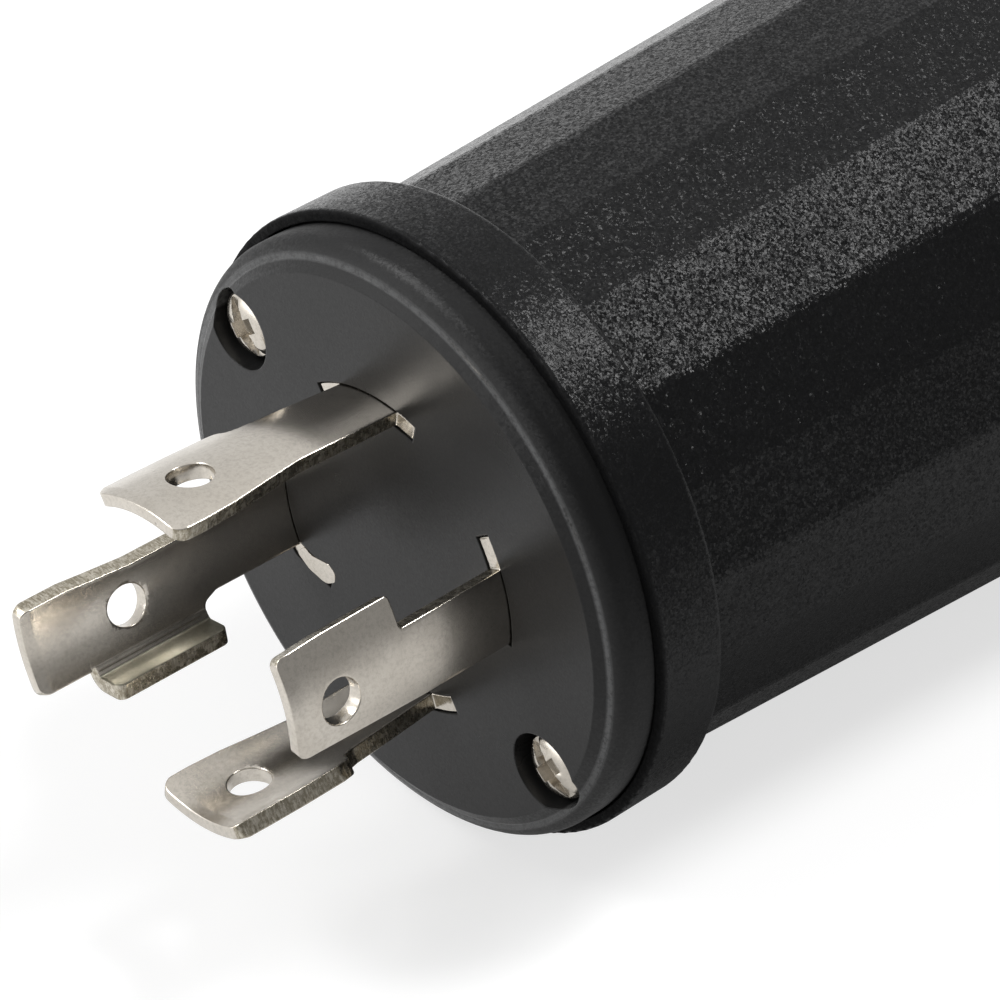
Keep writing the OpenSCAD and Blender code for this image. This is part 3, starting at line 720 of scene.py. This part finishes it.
def ground_blade(name, station, node, lean):
    """The long blade, its hook folded inwards."""
    low, edge, slit, tip_edge = (on_arc(a) for a in (-14.6, 11, 15, 16))
    root_low = on_arc(-18)
    hook, root = fold_end(HOOK_FOLD), fold_end(ROOT_FOLD)
    relief = FOLD_TOP + 0.4
    corners = [(on_arc(a), up, r) for a, up, r in GROUND_LOW]
    corners += [(tip_edge, GROUND_TIP, 0.9), (tip_edge, relief, 0.15)]
    corners += [(slit, relief, 0.15), (slit, FOLD_TOP, 0.15)]
    corners += [(hook, FOLD_TOP, 0.8), (hook, NOTCH_H, 0.8), (on_arc(13.5), NOTCH_H, 0.9)]
    corners += [(edge, NOTCH_H - 1.6, 0.9), (edge, ROOT_TOP, 0.15), (root, ROOT_TOP, 0.5)]
    corners += [(root, -EAR_DEPTH, 0.3), (edge, -EAR_DEPTH, 0.2), (edge, -WAIST_DEPTH, 0)]
    corners += tab_and_low_side(low, root_low, root_low - EAR) + low_slot(low, root_low)
    corners.reverse()
    bm = cut_and_bend(corners, True, GROUND_TIP, hook, lean)
    finish_blade(name, bm, station, node)


# The blades' stations are degrees round the plug. Each leans outwards a little, by
# millimetres for each millimetre of height.
GROUND_STATION = 194.5
LEAN = 0.012
LEAN_HOT_X = 0.036

line_blade("neutral_blade", 9, "blade_neutral", NEUTRAL_ABOVE, NEUTRAL_TIP, -16, LEAN)
line_blade("hot_blade_x", 98, "blade_hot_x", HOT_ABOVE, HOT_TIP, -25, LEAN_HOT_X)
line_blade("hot_blade_y", 276.5, "blade_hot_y", HOT_ABOVE, HOT_TIP, -25, LEAN)
ground_blade("ground_blade", GROUND_STATION, "blade_ground", LEAN)

# The ground blade's root shows as a hooked patch of plate, upset into the mating face.
ROOT_PATCH = [
    (14.3, 3.5, 0.3), (13.1, 4.9, 1.5), (11.0, 5.95, 1.5), (9.6, 5.5, 0.6),
    (9.2, 4.5, 0.6), (9.85, 3.75, 0.6), (12.3, 3.4, 1.0), (12.9, 2.75, 0.3),
]
PATCH_BOTTOM = -0.9
PATCH_TOP = 0.04
PATCH_ROUND = 0.06


def flush_patch(name, corners, station):
    """A plate in the mating face, its upper edge rounded."""
    outline = rounded(corners)
    middle = sum(outline, Vector((0, 0))) / len(outline)
    levels = [(PATCH_BOTTOM, 0.0), (PATCH_TOP - PATCH_ROUND, 0.0)]
    levels += [(PATCH_TOP - 0.3 * PATCH_ROUND, 0.3), (PATCH_TOP, 1.0)]
    bm = bmesh.new()
    rings = []
    for z, inset in levels:
        points = [p + (middle - p).normalized() * PATCH_ROUND * inset for p in outline]
        rings.append([bm.verts.new((p.x, p.y, z)) for p in points])
    bm.faces.new(rings[0])
    bm.faces.new(rings[-1])
    skin(bm, rings)
    for face in bm.faces:
        face.smooth = True
    spin(bm, station)
    add_piece(name, bm, [FINISH["blade_nickel"]], "plug_body", "blade_nickel")


flush_patch("ground_root", ROOT_PATCH, GROUND_STATION)

# ---- screws -----------------------------------------------------------------------

THREAD_PITCH = 0.7
THREAD_DEPTH = 0.28
THREAD_SIDES = 24
THREAD_ROWS = 6


def lathe(profile, count=64):
    """A solid turned about z from (radius, z) points, its first and last on the axis."""
    bm = bmesh.new()
    rings = []
    for r, z in profile:
        if r == 0:
            rings.append([bm.verts.new((0, 0, z))])
        else:
            angles = [2 * math.pi * k / count for k in range(count)]
            rings.append([bm.verts.new((r * math.cos(a), r * math.sin(a), z)) for a in angles])
    skin(bm, rings)
    return bm


def threaded_rod(r, top, tip):
    """A rod down z with a right-hand thread and a blunt tip."""
    bm = bmesh.new()
    rings = [[bm.verts.new((0, 0, top))]]
    rows = round((top - tip) / THREAD_PITCH * THREAD_ROWS)
    for row in range(rows + 1):
        z = top + (tip - top) * row / rows
        taper = min(1.0, 0.55 + 0.45 * (z - tip) / (1.2 * r))
        points = []
        for k in range(THREAD_SIDES):
            angle = 2 * math.pi * k / THREAD_SIDES
            phase = (z / THREAD_PITCH - k / THREAD_SIDES) % 1.0
            cut = THREAD_DEPTH * (1 - abs(2 * phase - 1))
            reach = (r - cut) * taper
            points.append(bm.verts.new((reach * math.cos(angle), reach * math.sin(angle), z)))
        rings.append(points)
    rings.append([bm.verts.new((0, 0, tip))])
    skin(bm, rings)
    return bm


def block(size, turn=0.0, slope=0.0):
    """A cutter: a box round the origin, its lower face shorter, turned about z."""
    bm = bmesh.new()
    x, y, z = (v / 2 for v in size)
    bottom = [(-x + slope, -y, -z), (x - slope, -y, -z), (x - slope, y, -z), (-x + slope, y, -z)]
    top = [(-x, -y, z), (x, -y, z), (x, y, z), (-x, y, z)]
    rings = [[bm.verts.new(p) for p in bottom], [bm.verts.new(p) for p in top]]
    bm.faces.new(rings[0])
    bm.faces.new(rings[1])
    skin(bm, rings)
    spin(bm, turn)
    return bm


def as_object(bm):
    mesh = bpy.data.meshes.new("work")
    bm.to_mesh(mesh)
    bm.free()
    made = bpy.data.objects.new("work", mesh)
    bpy.context.scene.collection.objects.link(made)
    return made


def carve(body, cutters, soften):
    """Cuts the cutters out of a body and rounds the edges; gives the mesh back as bmesh."""
    made = as_object(body)
    tools = [as_object(cutter) for cutter in cutters]
    for tool in tools:
        cut = made.modifiers.new("cut", "BOOLEAN")
        cut.object = tool
        cut.solver = "EXACT"
    edge = made.modifiers.new("edge", "BEVEL")
    edge.width = soften
    edge.segments = 2
    edge.limit_method = "ANGLE"
    edge.angle_limit = math.radians(35)
    bpy.context.view_layer.update()
    ready = made.evaluated_get(bpy.context.evaluated_depsgraph_get())
    mesh = bpy.data.meshes.new_from_object(ready)
    bm = bmesh.new()
    bm.from_mesh(mesh)
    bpy.data.meshes.remove(mesh)
    for used in [made] + tools:
        old = used.data
        bpy.data.objects.remove(used)
        bpy.data.meshes.remove(old)
    return bm


def screw_head(d, h, slot, cross):
    """A pan head with a slot right across and a cross recess, its top at z = 0.

    The slot is a width and a depth, and the cross a length, a width and a depth.
    """
    r = d / 2
    dome = [(0, 0), (0.3 * r, -0.012 * d), (0.6 * r, -0.05 * d), (0.82 * r, -0.105 * d)]
    rim = [(0.95 * r, -0.17 * d), (r, -0.235 * d), (r, -h + 0.15), (r - 0.12, -h), (0, -h)]
    slot_w, slot_depth = slot
    cross_len, cross_w, cross_depth = cross
    cutters = [block((2 * d, slot_w, 2 * slot_depth))]
    for turn in (0, 90):
        size = (cross_len, cross_w, 2 * cross_depth)
        cutters.append(block(size, turn, 0.32 * cross_len / 2))
    return carve(lathe(dome + rim), cutters, 0.07)


def add_screw(name, head, rod, placed, body, node):
    mesh = bpy.data.meshes.new("rod")
    rod.to_mesh(mesh)
    rod.free()
    head.from_mesh(mesh)
    bpy.data.meshes.remove(mesh)
    bmesh.ops.transform(head, matrix=placed, verts=head.verts)
    for face in head.faces:
        face.smooth = True
    piece = add_piece(name, head, [FINISH["screw_nickel"]], body, "screw_nickel", node)
    for edge in piece.data.edges:
        edge.use_edge_sharp = False


ASSEMBLY_R = 22.85
ASSEMBLY_SINK = 0.28
CLAMP_SCREW_X = 18.5
CLAMP_SCREW_DEPTH = 88.0
CLAMP_HEAD_TOP = 10.8

# The assembly screws' stations round the plug and their slots' turns, in degrees.
for side, station, turn in (("upper", 144, -22), ("lower", 324, -5)):
    placed = Matrix.Rotation(math.radians(station), 4, "Z")
    placed = placed @ Matrix.Translation((ASSEMBLY_R, 0, -ASSEMBLY_SINK))
    placed = placed @ Matrix.Rotation(math.radians(turn), 4, "Z")
    head = screw_head(6.5, 2.0, slot=(1.2, 0.9), cross=(3.7, 1.4, 1.25))
    rod = threaded_rod(1.5, -1.6, -32.72)
    node = f"assembly_screw_{side}"
    add_screw(f"{node}_detailed", head, rod, placed, "plug_body", node)

for side, x in (("left", -CLAMP_SCREW_X), ("right", CLAMP_SCREW_X)):
    placed = Matrix.Translation((x, CLAMP_HEAD_TOP, -CLAMP_SCREW_DEPTH))
    placed = placed @ Matrix.Rotation(math.radians(-90), 4, "X")
    head = screw_head(7.6, 2.6, slot=(1.25, 1.0), cross=(4.4, 1.5, 1.5))
    rod = threaded_rod(2.0, -2.2, -19.3)
    node = f"clamp_screw_{side}"
    add_screw(f"{node}_detailed", head, rod, placed, node, node)

# ---- floor, light and background --------------------------------------------------

FLOOR_HALF = 3.0
FLOOR_GAP = 0.05 * MM
FLOOR_DIFFUSE = 0.41
FLOOR_GLOW = 0.68
WORLD_GREY = 0.32

# What a reflection sees gets darker towards the right, from a dimmer world and
# painted shade on the floor: from a place, to a place, and by how much. The floor's
# places are millimetres, the world's parts of a direction.
FLOOR_DROPS = [(-20 * MM, 20 * MM, 0.22), (70 * MM, 260 * MM, 0.33)]
WORLD_DROPS = [(0.0, 0.5, 0.65), (-0.35, -0.8, 0.12)]

# It also gets darker under the plug, a painted shadow that reflections see: half its
# width, its start, and by how much.
UNDER_PLUG_SIDES = (55, 25)
UNDER_PLUG_FRONT = (0, 15)
UNDER_PLUG_DROP = 0.65


def seen_background(t):
    """One for the rays that see the background itself, and one for glossy rays alone."""
    path = t.add("ShaderNodeLightPath").outputs
    seen = t.math("MAXIMUM", path["Is Camera Ray"], path["Is Glossy Ray"])
    return t.math("MAXIMUM", seen, path["Is Transmission Ray"]), path["Is Glossy Ray"]


def level_along(t, glossy, along, drops):
    """The level that a reflection sees: the studio's right side is darker, which on the floor is
    painted shade.
    """
    darker = 0.0
    for near, far, drop in drops:
        darker = t.math("ADD", darker, t.math("MULTIPLY", t.ramp(along, near, far), drop))
    return t.math("SUBTRACT", 1.0, t.math("MULTIPLY", glossy, darker))


def make_floor():
    mesh = bpy.data.meshes.new("floor")
    half, z = FLOOR_HALF, floor_z - FLOOR_GAP
    corners = [(-half, -half, z), (half, -half, z), (half, half, z), (-half, half, z)]
    mesh.from_pydata(corners, [], [(0, 1, 2, 3)])
    floor = bpy.data.objects.new("floor", mesh)
    bpy.context.scene.collection.objects.link(floor)
    made = bpy.data.materials.new("floor_white")
    made.use_nodes = True
    t = Tree(made.node_tree)
    t.tree.nodes.clear()
    place = t.add("ShaderNodeTexCoord").outputs["Object"]
    across, behind = t.part(place, "X"), t.part(place, "Y")
    seen, glossy = seen_background(t)
    # For glossy rays the floor's colour and glow are darker towards the right: painted shade.
    level = level_along(t, glossy, across, FLOOR_DROPS)
    # A painted shadow under the plug, for glossy rays only.
    beside = t.step(t.math("ABSOLUTE", across), UNDER_PLUG_SIDES)
    under = t.math("MULTIPLY", beside, t.step(behind, UNDER_PLUG_FRONT))
    under = t.math("MULTIPLY", glossy, t.math("MULTIPLY", under, UNDER_PLUG_DROP))
    level = t.math("SUBTRACT", level, under)
    diffuse = t.add("ShaderNodeBsdfDiffuse", {"Color": t.mix(level, grey(0), grey(FLOOR_DIFFUSE))})
    glow = t.add("ShaderNodeEmission", {"Color": grey(1)})
    shown = t.math("MULTIPLY", seen, level)
    t.put(glow.inputs["Strength"], t.math("MULTIPLY", shown, FLOOR_GLOW))
    both = t.add("ShaderNodeAddShader", {0: diffuse.outputs[0], 1: glow.outputs[0]})
    t.add("ShaderNodeOutputMaterial", {"Surface": both.outputs[0]})
    mesh.materials.append(made)


def make_world():
    world = bpy.data.worlds.new("studio")
    bpy.context.scene.world = world
    world.use_nodes = True
    t = Tree(world.node_tree)
    t.tree.nodes.clear()
    direction = t.add("ShaderNodeTexCoord").outputs["Generated"]
    seen, glossy = seen_background(t)
    level = level_along(t, glossy, t.part(direction, "X"), WORLD_DROPS)
    shade = t.mix(seen, grey(WORLD_GREY), grey(1))
    light = t.add("ShaderNodeBackground", {"Color": shade, "Strength": level})
    t.add("ShaderNodeOutputWorld", {"Surface": light.outputs[0]})


# Softboxes: name, direction from the plug, distance and size in metres, and watts.
LIT_POINT = Vector((0, 0.03, 0))
SOFTBOXES = [
    ("key", (0.27, 0.43, 0.86), 1.1, (0.32, 0.32), 8.2),
    ("fill", (-0.48, -0.52, 0.71), 1.2, (0.45, 0.45), 7.0),
    ("front", (-0.42, -0.88, 0.2), 1.2, (1.1, 0.42), 3.2),
]


def add_softbox(name, direction, distance, size, watts):
    lamp = bpy.data.lights.new(name, "AREA")
    lamp.shape = "RECTANGLE"
    lamp.size, lamp.size_y = size
    lamp.energy = watts
    holder = bpy.data.objects.new(name, lamp)
    bpy.context.scene.collection.objects.link(holder)
    away = Vector(direction).normalized()
    holder.location = LIT_POINT + away * distance
    holder.rotation_mode = "QUATERNION"
    holder.rotation_quaternion = away.to_track_quat("Z", "Y")


make_floor()
make_world()
for softbox in SOFTBOXES:
    add_softbox(*softbox)

# ---- view transform ---------------------------------------------------------------

bpy.context.scene.view_settings.view_transform = "Standard"
